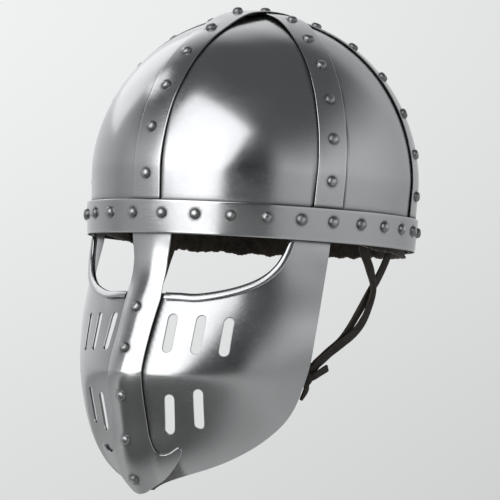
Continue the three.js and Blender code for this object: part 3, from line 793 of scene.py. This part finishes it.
class HELMET_OT_crown_plates(bpy.types.Operator):
    """Raises the six plates that fill the dome between the hoops"""

    bl_idname = "helmet.crown_plates"
    bl_label = "Crown plates"

    def execute(self, context):
        s = context.scene.helmet_frame
        along = np.linspace(0, CROWN_TOP_SHARE, 90)
        for number, (name, start, end) in enumerate(CROWN_PLATES):
            aim = meridian_aim(np.linspace(start, end, 44)[None], along[:, None])
            bare = on_skull(aim)
            wave = s.plate_wave / MM * waves(bare, (26, 38, 55, 31, 71), SEED + number)
            wave *= smooth(24, 45, bare[..., 2]) * smooth(0, 6, DOME_HEIGHT - bare[..., 2])
            seam = np.zeros(aim.shape)
            seam[:, 0] = bearing_vector(start + 90.0) * SEAM
            seam[:, -1] = bearing_vector(end - 90.0) * SEAM
            outer, inner = (on_skull(aim, wave - depth) + seam for depth in (0, CROWN_GAUGE))
            points, faces = loft(np.concatenate([outer, inner[:, ::-1]], axis=1))
            add_piece(f"crown_{name}", (points, faces), "crown_satin", "crown_steel",
                      f"crown_plate_{name}", grime=joint_film_and_shade_mark(points, s))
        return {"FINISHED"}


class HELMET_OT_hoops(bpy.types.Operator):
    """Bends the three riveted hoops over the dome"""

    bl_idname = "helmet.hoops"
    bl_label = "Hoops"

    def execute(self, context):
        s = context.scene.helmet_frame
        width = s.hoop_width / MM
        bar = rounded_bar(width / 2, GAP, HOOP_LAYER, s.edge_round / MM, 14)
        along = np.linspace(0, 1, 421)
        top = np.tile(bar[:, 1] > HOOP_LAYER - 0.3, len(along))
        edge = np.tile(np.abs(bar[:, 0]) > width / 2 - 0.8, len(along))
        for number, hoop in enumerate(HOOPS):
            run = np.column_stack([along * 400, np.full(along.shape, 90.0 * number),
                                   np.zeros(along.shape)])
            trim = 1 + 0.012 * waves(run, (17, 29, 47), SEED + 20 + number)
            wave = 0.05 * waves(run, (37, 53, 71), SEED + 30 + number)
            points, faces = loft(hoop_point(hoop, along[:, None], bar[None, :, 0] * trim[:, None],
                                            bar[None, :, 1] + wave[:, None]))
            feet, ways = hoop_rivets(hoop, s.arm_rivets)
            # Dark film and painted shade round the rivets and where a hoop above ends; side walls
            # and underside fully dark as painted gap shade; top edges lighter, rubbed wear with a
            # painted highlight.
            grime = np.maximum(near_rivets(points, feet) * 0.75,
                               joint_film_and_shade_mark(points, s, hoop.level))
            add_piece(f"band_{hoop.name}", (points, faces), "hoop_satin", "frame_steel",
                      f"hoop_{hoop.name}", grime=np.where(top, grime, 1.0),
                      wear=(edge & top) * 0.8)
            add_rivets(f"rivets_{hoop.name}", feet, ways, SEED + 40 + number)
        return {"FINISHED"}


class HELMET_OT_brow_band(bpy.types.Operator):
    """Closes the brow band around the dome and sets its rivets"""

    bl_idname = "helmet.brow_band"
    bl_label = "Brow band"

    def execute(self, context):
        s = context.scene.helmet_frame
        height = s.brow_height / MM
        bar = rounded_bar(height / 2, BROW_LAYER - FRAME_GAUGE, BROW_LAYER, s.edge_round / MM, 14)
        bearings = np.linspace(0, 360, 540, endpoint=False)
        flat = bearing_vector(bearings)
        wobble = 0.12 * waves(flat * 106, (31, 47, 73), SEED + 50)
        aim = np.repeat(flat[:, None], len(bar), axis=1)
        aim[..., 2] = bar[None, :, 0] + height / 2
        loops = on_skull(aim, bar[None, :, 1] + 0.4 * wobble[:, None])
        loops[:, bar[:, 0] > height / 2 - 1.2, 2] += wobble[:, None]
        points, faces = loft(loops, closed_path=True)
        feet, ways = brow_rivets(s.brow_rivets)
        outer = np.tile(bar[:, 1] > BROW_LAYER - 0.3, len(bearings))
        edge = np.tile(np.abs(bar[:, 0]) > height / 2 - 0.8, len(bearings))
        # Painted shade round the rivets and over the band's sides and inner face; outer edges
        # lighter, rubbed wear with a painted highlight.
        add_piece("band_brow", (points, faces), "brow_satin", "frame_steel", "brow_band",
                  grime=np.where(outer, near_rivets(points, feet) * 0.75, 0.9), wear=edge & outer)
        add_rivets("rivets_brow", feet, ways, SEED + 51)
        return {"FINISHED"}


def eye_edge(start):
    """Lower and rear edge of the eye opening seen from the front, from x = start."""
    return spline([(start, EYE_LOW), (24, EYE_LOW), *EYE_REAR], 1.2)


def to_domain(front):
    """Front-view (x, z) points as (100 times the turn, z) points of the face surface."""
    return np.column_stack([100 * face_turn(front[:, 1], front[:, 0]), front[:, 1]])


def outward(line):
    """Unit steps out of the face plate, across an edge seen from the front."""
    tangent = unit(np.gradient(line, axis=0))
    return np.column_stack([tangent[:, 1], -tangent[:, 0]])


def slot_outline(x, z, lean):
    """Round-ended slot on the cheek, narrowed by the slant of the plate."""
    turn, h = face_turn(np.array([z]), np.array([x])), 0.01
    tangent = (face_point(np.array([z]), turn + h) - face_point(np.array([z]), turn - h))[0]
    slant = abs(tangent[0]) / math.hypot(tangent[0], tangent[1])
    radius = SLOT_WIDTH / 2 + RIM
    straight = SLOT_LENGTH / 2 - SLOT_WIDTH / 2
    places = []
    for end in (1, -1):
        for turned in np.linspace(0, math.pi, 13) + (0 if end > 0 else math.pi):
            height = end * straight + radius * math.sin(turned)
            places.append((x + radius * slant * math.cos(turned) + lean * height / SLOT_LENGTH,
                           z + height))
    return to_domain(evenly(np.array(places + places[:1]), 1.1)[:-1])


def strip_edge(z, points):
    """Half-width of the strip at a height, from the first points of its outline."""
    edge = np.array(STRIP_OUTLINE[:points])[::-1]
    return np.interp(z, edge[:, 1], edge[:, 0])


def mesh_rows(low, high, spacing, *near_crease):
    """Heights of mesh rows, with more of them on both sides of the bend of the face."""
    near = CREASE_HEIGHT + np.array([sign * n for n in near_crease for sign in (-1, 1)])
    return np.unique(np.round(np.concatenate([np.arange(low, high, spacing), near]), 3))


class HELMET_OT_face_plates(bpy.types.Operator):
    """Shapes the two cheek plates with their eye openings, lips and slots"""

    bl_idname = "helmet.face_plates"
    bl_label = "Face plates"

    def outline(self):
        z = np.arange(FACE_BOTTOM + RIM, FACE_TOP - RIM, 1.5)
        middle = to_domain(np.column_stack([np.full(z.shape, FACE_MIDDLE + RIM), z]))
        rear = np.column_stack([100 * np.radians(face_values(z)[4]) - RIM, z])
        bottom = evenly(np.array([middle[0], rear[0]]), 1.5)[1:-1]
        top = evenly(np.array([rear[-1], middle[-1]]), 1.5)[1:-1]
        return np.vstack([bottom, rear, top, middle[::-1]])

    def eye(self):
        edge = eye_edge(EYE_INNER)
        edge = edge + RIM * outward(edge)
        inner, high = EYE_INNER - RIM, EYE_TOP + RIM
        top = evenly(np.array([(edge[-1][0], high), (inner, high)]), 1.2)
        side = evenly(np.array([(inner, high), (inner, edge[0][1])]), 1.2)[1:-1]
        return to_domain(np.vstack([edge, top, side]))

    def lip(self, sizes, surface):
        """Turned lip along the eye opening: a rounded fold and a flared flange."""
        edge = eye_edge(LIP_START)
        edge[:, 1] = np.minimum(edge[:, 1], -0.7)
        foot_at, aim_at = to_domain(edge), to_domain(edge + 3 * outward(edge))
        foot, out = surface(foot_at), normals_of(surface, foot_at)
        aim = unit(surface(aim_at) - foot)
        reach, stand = sizes.lip_reach / MM, sizes.lip_stand / MM
        section = np.array([
            (0.45, -1.3), (-0.15, -1.0), (-0.4, -0.3), (-0.35, 0.5), (-0.05, 1.25), (0.5, 1.8),
            (1.2, 2.12), (2.2, stand - 0.26), (3.1, stand - 0.1), (reach - 0.35, stand),
            (reach - 0.05, stand - 0.2), (reach, stand - 0.6), (reach - 0.15, stand - 1.0),
            (reach - 0.6, stand - 1.2), (2.6, stand - 1.42), (1.7, 0.8), (1.1, 0.3),
            (0.8, -0.4), (0.75, -1.1)])
        loops = (foot[:, None] + aim[:, None] * section[None, :, :1]
                 + out[:, None] * section[None, :, 1:])
        loops[..., 2] = np.minimum(loops[..., 2], -0.35)
        return loft(loops)

    def execute(self, context):
        f = context.scene.helmet_face
        rise, wave = f.crease_rise / MM, context.scene.helmet_frame.plate_wave / MM * 1.4
        holes = [self.eye()] + [slot_outline(*slot) for slot in SLOTS]
        rows = mesh_rows(FACE_BOTTOM, FACE_TOP, 2.1, 0.3, 0.8, 1.6)
        domain, triangles = fill(self.outline(), holes, np.arange(0, 122, 2.1), rows)
        for side, name in ((1, "left"), (-1, "right")):
            def surface(d, seed=SEED + 60 + side):
                return face_surface(d, rise, wave, seed)

            shape = plate(surface, domain, triangles, FACE_GAUGE)
            x, z = shape[0][:, 0], shape[0][:, 2]
            # Painted shade along the edge of the centre strip and under the brow band.
            by_strip = 1 - smooth(0.3, 2.6, x - strip_edge(z, 13))
            by_brow = 1 - smooth(0.3, 2.5, -z)
            lip = self.lip(f, surface)
            if side < 0:
                shape, lip = mirrored(*shape), mirrored(*lip)
            add_piece(f"cheek_{name}", shape, "face_satin", "face_steel", f"face_plate_{name}",
                      grime=0.8 * np.maximum(by_strip, by_brow))
            # The whole eye lip is lightened a little: a painted highlight.
            add_piece(f"eye_lip_{name}", lip, "face_satin", "face_steel",
                      wear=np.full(len(lip[0]), 0.5))
        return {"FINISHED"}


class HELMET_OT_centre_strip(bpy.types.Operator):
    """Folds the ridged strip that covers the joint of the face plates"""

    bl_idname = "helmet.centre_strip"
    bl_label = "Centre strip"

    def execute(self, context):
        def surface(domain):
            return strip_surface(domain, context.scene.helmet_face)

        side = np.vstack([evenly(np.array(STRIP_OUTLINE[:9], float), 1.4)[:-1],
                          spline(STRIP_OUTLINE[8:], 1.2)])
        side[:, 0] = np.maximum(side[:, 0] - RIM, 0)
        top = STRIP_OUTLINE[0][1]
        across = evenly(np.array([(side[0][0], top), (-side[0][0], top)], float), 1.4)
        outline = np.vstack([side[::-1], across[1:-1], side[:-1] * (-1, 1)])
        rows = mesh_rows(-165, 17, 1.9, 0.3, 0.8)
        domain, triangles = fill(outline, [], np.arange(-32, 32.5, 1.7), rows)
        shape = plate(surface, domain, triangles, FRAME_GAUGE)
        x, z = shape[0][:, 0], shape[0][:, 2]
        at = np.array([(0.0, height) for height in STRIP_RIVETS])
        feet, ways = surface(at), normals_of(surface, at)
        # Painted shade round the rivets and where the strip runs up under the brow band; its edges
        # lighter, rubbed wear with a painted highlight.
        grime = np.maximum(0.7 * near_rivets(shape[0], feet), 0.8 * (1 - smooth(0.3, 2.2, -z)))
        add_piece("nasal_strip", shape, "brow_satin", "frame_steel", "centre_strip", grime=grime,
                  wear=1 - smooth(0.2, 1.6, strip_edge(z, 9) - np.abs(x)))
        add_rivets("rivets_strip", feet, ways, SEED + 71)
        return {"FINISHED"}


class HELMET_OT_lining(bpy.types.Operator):
    """Fits the suede band inside the brow, with its rough cut edge"""

    bl_idname = "helmet.lining"
    bl_label = "Suede lining"

    def execute(self, context):
        leather = context.scene.helmet_leather
        thickness = leather.thickness / MM
        flat = bearing_vector(np.linspace(0, 360, 720, endpoint=False))
        ragged = leather.ragged / MM * (waves(flat * 100, (7, 11, 19, 5, 33), SEED + 80)
                                        + 0.5 * waves(flat * 100, (2.3, 3.1, 4.7), SEED + 81))
        lifted = LINER_FRONT_LIFT * smooth(-0.35, 0.55, -flat[:, 1])
        low = LINER_LOW + lifted + ragged * (1 - 0.6 * lifted / LINER_FRONT_LIFT)
        levels = np.concatenate([[0, 0.012, 0.035], np.linspace(0.08, 0.94, 14), [0.985, 1]])
        swell = np.array([0.75, 0.35, 0.0] + [0.0] * 14 + [0.3, 0.8])
        z = low[:, None] + (LINER_HIGH - low[:, None]) * levels
        x, y = flat[:, :1], flat[:, 1:2]
        reach = np.where(y < 0, LINER_FRONT, LINER_REAR)

        def face(depth, seed):
            bare = np.stack(np.broadcast_arrays(100 * x, 100 * y, z), axis=-1)
            into = depth + 0.25 * waves(bare, (9, 14, 23, 31), seed) - 0.5 * swell * thickness
            k = 1 / np.hypot(x / (LINER_HALF_WIDTH - into), y / (reach - into))
            return np.stack([x * k, y * k, z], axis=-1)

        outer, inner = face(0.15, SEED + 82), face(thickness, SEED + 83)
        loops = np.concatenate([outer, inner[:, ::-1]], axis=1)
        points, faces = loft(loops, closed_path=True)
        above_edge = points[:, 2] - np.repeat(low, loops.shape[1])
        band = add_piece("lining_band", (points, faces), "suede_nap", "suede", "suede_liner",
                         wear=0.6 * (1 - smooth(0.2, 1.2, above_edge)))
        return {"FINISHED"}


class HELMET_OT_thongs(bpy.types.Operator):
    """Cuts and ties the leather thongs: two branches, a knot and the chin thong"""

    bl_idname = "helmet.thongs"
    bl_label = "Leather thongs"

    def strap(self, path, width, facing, twist, seed, taper=1.0):
        """One strap with slightly uneven width, its edges marked as worn."""
        thickness = bpy.context.scene.helmet_leather.thickness / MM
        line = spline(path, THONG_SPACING)
        uneven = waves(line, (9, 15, 27), seed)
        width = width * np.linspace(1, taper, len(line))
        loops = ribbon(line, width * (1 + 0.05 * uneven), thickness * (0.92 + 0.06 * uneven),
                       facing(line), twist * waves(line, (48, 71), seed + 1))
        wear = np.maximum(smooth(0.55, 0.98, np.abs(np.cos(STRAP_ANGLES))),
                          (np.sin(STRAP_ANGLES) < -0.2) * 0.45)
        return (*loft(loops), np.tile(wear, len(line)))

    def flat(self, line):
        """Faces straight out to the side."""
        return np.tile((1.0, 0.0, 0.0), (len(line), 1))

    def turning(self, line):
        """The front thong leaves the lining half turned and flattens on its way down."""
        turn = 0.75 * smooth(-26, -8, line[:, 2])
        return np.column_stack([np.cos(turn), -np.sin(turn), np.zeros(len(line))])

    def around_chin(self, line):
        return line - np.array(CHIN_FOLD)

    def add(self, name, flip, parts, *nodes):
        """One piece made of straps, on the right side where flip is -1."""
        points, faces, wear, start = [], [], [], 0
        for p, f, w in parts:
            points.append(p * (flip, 1, 1))
            faces += [[i + start for i in face] for face in f]
            wear.append(w)
            start += len(p)
        add_piece(name, (np.vstack(points), faces), "thong_leather", "dark_leather", *nodes,
                  wear=np.concatenate(wear))

    def knot(self):
        """Two wraps pulled tight around the thongs, and the two cut ends."""
        thickness = bpy.context.scene.helmet_leather.thickness / MM
        centre = np.array(KNOT_CENTRE)
        axis = unit(np.array(CHIN_THONG[0]) - np.array(REAR_THONG[-1]))
        one = unit(np.cross(axis, (0.0, 0.3, 1.0)))
        two = np.cross(axis, one)
        turn = np.linspace(0, 2 * np.pi, 61)[:, None]
        wear = np.tile(smooth(0.6, 1, np.abs(np.cos(STRAP_ANGLES))), 60)
        parts = []
        for lean, shift, grow in ((0.42, -1.3, 1.0), (-0.5, 1.5, 1.06)):
            ring = one * np.cos(turn) * 3.0 * grow + two * np.sin(turn) * 4.3 * grow
            path = centre + ring + axis * (shift + lean * 3.4 * np.sin(turn + 0.6))
            loops = ribbon(path, 4.6, thickness * 0.95, ring)
            parts.append((*loft(loops[:-1], closed_path=True), wear))
        core = [centre + axis * away for away in (-9, -4, 0, 5, 10)]
        parts.append(self.strap(core, 5.5, self.flat, 0.0, SEED + 95))
        parts.append(self.strap(LOOSE_END, 4.5, self.flat, 0.0, SEED + 96))
        parts.append(self.strap(TUCKED_END, 7.5, self.flat, 0.3, SEED + 97, taper=0.25))
        return parts

    def execute(self, context):
        width = context.scene.helmet_leather.thong_width / MM
        branches = (("front", FRONT_THONG, THONG_SHIFT, self.turning, SEED + 90),
                    ("rear", REAR_THONG, -THONG_SHIFT, self.flat, SEED + 92))
        for flip, side in ((1, "left"), (-1, "right")):
            for name, path, shift, facing, seed in branches:
                moved = [(x + shift, y, z) for x, y, z in path + [KNOT_ENTRY]]
                self.add(f"lace_{side}_{name}", flip,
                         [self.strap(moved, width * 0.94, facing, 0.12, seed)],
                         f"thong_{side}_{name}")
            self.add(f"tied_knot_{side}", flip, self.knot(), f"knot_{side}")
        across = CHIN_THONG + [(-x, y, z) for x, y, z in CHIN_THONG[-2::-1]]
        chin = self.strap(across, width, self.around_chin, 0.15, SEED + 99)
        self.add("chin_lace", 1, [chin], "chin_thong")
        return {"FINISHED"}


# ------------------------------------------------------------------ stage

# the camera's lengths are millimetres, those of the floor and the lamps are metres
CAMERA_AZIMUTH, CAMERA_ELEVATION, CAMERA_ROLL = 35.781, -2.218, 3.004
CAMERA_DISTANCE, CAMERA_LENS = 2907.75, 322.37
AIM_ASIDE, AIM_UP = 1.851, 3.813
FLOOR_HEIGHT, FLOOR_RADIUS = -0.5, 6.5


def studio_direction(aside, elevation):
    """A direction from the helmet: aside is degrees to the left of the camera."""
    turn, lift = math.radians(CAMERA_AZIMUTH - aside), math.radians(elevation)
    return Vector((math.sin(turn) * math.cos(lift), -math.cos(turn) * math.cos(lift),
                   math.sin(lift)))


class HELMET_OT_stage(bpy.types.Operator):
    """Sets the floor, the studio walls, the lamps and the camera"""

    bl_idname = "helmet.stage"
    bl_label = "Stage"

    # degrees to the left of the camera, brightness of the wall there
    walls = ((-90, 0.62), (-45, 0.66), (-29, 0.58), (-22, 0.03), (8, 0.03), (13, 0.38),
             (60, 0.55), (90, 0.50), (108, 0.38), (130, 0.55), (152, 0.70), (174, 0.93),
             (180, 0.84), (186, 0.72), (200, 0.50), (225, 0.46), (270, 0.62))
    # the same, height at which the wall gives way to the dark ceiling as a share of top_range
    tops = ((-90, 0.52), (-70, 0.44), (-54, 0.30), (-16, 0.28), (0, 0.40), (70, 0.46), (95, 0.42),
            (130, 0.72), (165, 0.95), (195, 0.95), (230, 0.62), (270, 0.52))
    top_range, top_softness, ceiling_tone = 60, 16, (0.105, 0.107, 0.11)

    # name, degrees to the left, elevation, distance, width, height, share of the power, roll
    lamps = (("softbox", 33, 22, 2.4, 2.6, 2.75, 1.0, -19),
             ("side_lamp", 142, 30, 3.0, 2.0, 1.4, 0.14, 0),
             ("high_lamp", 110, 44, 3.0, 0.7, 0.6, 0.045, 0))

    def ramp(self, n, where, stops):
        node = n.add("ShaderNodeValToRGB", {0: where})
        while len(node.color_ramp.elements) < len(stops):
            node.color_ramp.elements.new(0.5)
        for element, (aside, value) in zip(node.color_ramp.elements, stops):
            element.position = (aside + 90) / 360
            element.color = (value, value, value, 1)
        return node.outputs[0]

    def world(self, scene):
        world = bpy.data.worlds.new("studio")
        scene.world = world
        world.use_nodes = True
        world.node_tree.nodes.clear()
        n = Nodes(world.node_tree)
        way = n.add("ShaderNodeTexCoord").outputs["Generated"]
        part = n.add("ShaderNodeSeparateXYZ", {0: way}).outputs
        bearing = n.math("ARCTAN2", part[0], n.math("MULTIPLY", part[1], -1.0))
        quarter = math.radians(CAMERA_AZIMUTH) + math.pi / 2
        turn = n.math("FRACT", n.math("DIVIDE", n.math("SUBTRACT", quarter, bearing), 2 * math.pi))
        lift = n.math("ARCSINE", part[2])
        wall = self.ramp(n, turn, self.walls)
        top = n.math("MULTIPLY", self.ramp(n, turn, self.tops), math.radians(self.top_range))
        spread = math.radians(self.top_softness)
        ceiling = n.span(lift, n.math("SUBTRACT", top, spread), n.math("ADD", top, spread))
        shade = n.mix(ceiling, wall, self.ceiling_tone)
        tinted = n.mix(1.0, shade, tuple(scene.helmet_stage.surroundings), "MULTIPLY")
        foot = n.span(lift, math.radians(-3), math.radians(6), 0.80, 1.0)
        glow = n.add("ShaderNodeBackground", {"Color": tinted, "Strength": foot})
        n.add("ShaderNodeOutputWorld", {0: glow.outputs[0]})

    def floor(self, scene):
        """A pale round floor with a painted shadow, a dark patch to the left, both soft at the
        edge.
        """
        turns = np.linspace(0, 2 * np.pi, 96, endpoint=False)
        ring = np.column_stack([np.cos(turns), np.sin(turns), np.zeros(96)]) * FLOOR_RADIUS
        mesh = bpy.data.meshes.new("floor")
        mesh.from_pydata((ring + (0, 0, FLOOR_HEIGHT)).tolist(), [], [tuple(range(96))])
        floor = bpy.data.objects.new("floor", mesh)
        scene.collection.objects.link(floor)
        material, n, shader, where = new_finish("floor_pale")
        tone = tuple(scene.helmet_stage.floor)
        cloud = n.span(n.noise(where, 1.5, 3, 0.5), 0.3, 0.7)
        # Painted shadow: the floor turns dark round a point to the camera's left.
        shadow_patch_distance = n.add("ShaderNodeVectorMath", {0: where, 1: studio_direction(34, 0) * 1.5},
                    operation="DISTANCE").outputs["Value"]
        pale = n.mix(cloud, times(0.97, tone), tone)
        n.feed(shader, {"Base Color": n.mix(n.span(shadow_patch_distance, 1.0, 1.6), (0.05, 0.05, 0.05), pale),
                        "Roughness": 0.9, "Emission Color": (*tone, 1),
                        "Emission Strength": 0.06})
        mesh.materials.append(material)

    def lamp(self, scene, name, aside, elevation, distance, width, height, part, roll):
        light = bpy.data.lights.new(name, "AREA")
        light.shape, light.size, light.size_y = "RECTANGLE", width, height
        light.energy = scene.helmet_stage.softbox * part
        lamp = bpy.data.objects.new(name, light)
        way = studio_direction(aside, elevation)
        lamp.location = way * distance
        lamp.rotation_euler = (way.to_track_quat("Z", "Y").to_matrix()
                               @ Matrix.Rotation(math.radians(roll), 3, "Z")).to_euler()
        lamp.visible_camera = False
        scene.collection.objects.link(lamp)

    def camera(self, scene):
        a, e, roll = (math.radians(v) for v in (CAMERA_AZIMUTH, CAMERA_ELEVATION, CAMERA_ROLL))
        back = Vector((math.sin(a) * math.cos(e), -math.cos(a) * math.cos(e), math.sin(e)))
        level = Vector((math.cos(a), math.sin(a), 0))
        upright = back.cross(level)
        right = math.cos(roll) * level + math.sin(roll) * upright
        up = -math.sin(roll) * level + math.cos(roll) * upright
        camera = bpy.data.objects.new("camera", bpy.data.cameras.new("camera"))
        camera.data.lens, camera.data.sensor_width = CAMERA_LENS, 36
        camera.data.clip_end = 30
        place = (back * CAMERA_DISTANCE - right * AIM_ASIDE - up * AIM_UP) * MM
        turned = Matrix((right, up, back)).transposed().to_4x4()
        camera.matrix_world = Matrix.Translation(place) @ turned
        scene.collection.objects.link(camera)
        scene.camera = camera

    def execute(self, context):
        scene = context.scene
        scene.view_settings.view_transform = "Standard"
        self.world(scene)
        self.floor(scene)
        for lamp in self.lamps:
            self.lamp(scene, *lamp)
        self.camera(scene)
        return {"FINISHED"}


# ------------------------------------------------------------------ panel and run

STEPS = (HELMET_OT_stage, HELMET_OT_crown_plates, HELMET_OT_hoops, HELMET_OT_brow_band,
         HELMET_OT_face_plates, HELMET_OT_centre_strip, HELMET_OT_lining, HELMET_OT_thongs)
GROUPS = (("helmet_frame", HelmetFrameSizes), ("helmet_face", HelmetFaceSizes),
          ("helmet_leather", HelmetLeatherSizes), ("helmet_finish", HelmetFinish),
          ("helmet_stage", HelmetStage))


class HELMET_PT_builder(bpy.types.Panel):
    """Lists the helmet's sizes, finishes and building steps"""

    bl_idname = "HELMET_PT_builder"
    bl_label = "Spangenhelm"
    bl_space_type = "VIEW_3D"
    bl_region_type = "UI"
    bl_category = "Helmet"

    def draw(self, context):
        for name, group in GROUPS:
            box = self.layout.box()
            for key in group.__annotations__:
                box.prop(getattr(context.scene, name), key)
        for step in STEPS:
            self.layout.operator(step.bl_idname)


def register():
    for name, group in GROUPS:
        bpy.utils.register_class(group)
        setattr(bpy.types.Scene, name, bpy.props.PointerProperty(type=group))
    for step in STEPS:
        bpy.utils.register_class(step)
    bpy.utils.register_class(HELMET_PT_builder)


def unregister():
    bpy.utils.unregister_class(HELMET_PT_builder)
    for step in reversed(STEPS):
        bpy.utils.unregister_class(step)
    for name, group in reversed(GROUPS):
        delattr(bpy.types.Scene, name)
        bpy.utils.unregister_class(group)


def main():
    register()
    for step in STEPS:
        group, name = step.bl_idname.split(".")
        result = getattr(getattr(bpy.ops, group), name)()
        if result != {"FINISHED"}:
            raise RuntimeError(f"{step.bl_label} did not finish")


if __name__ == "__main__":
    main()
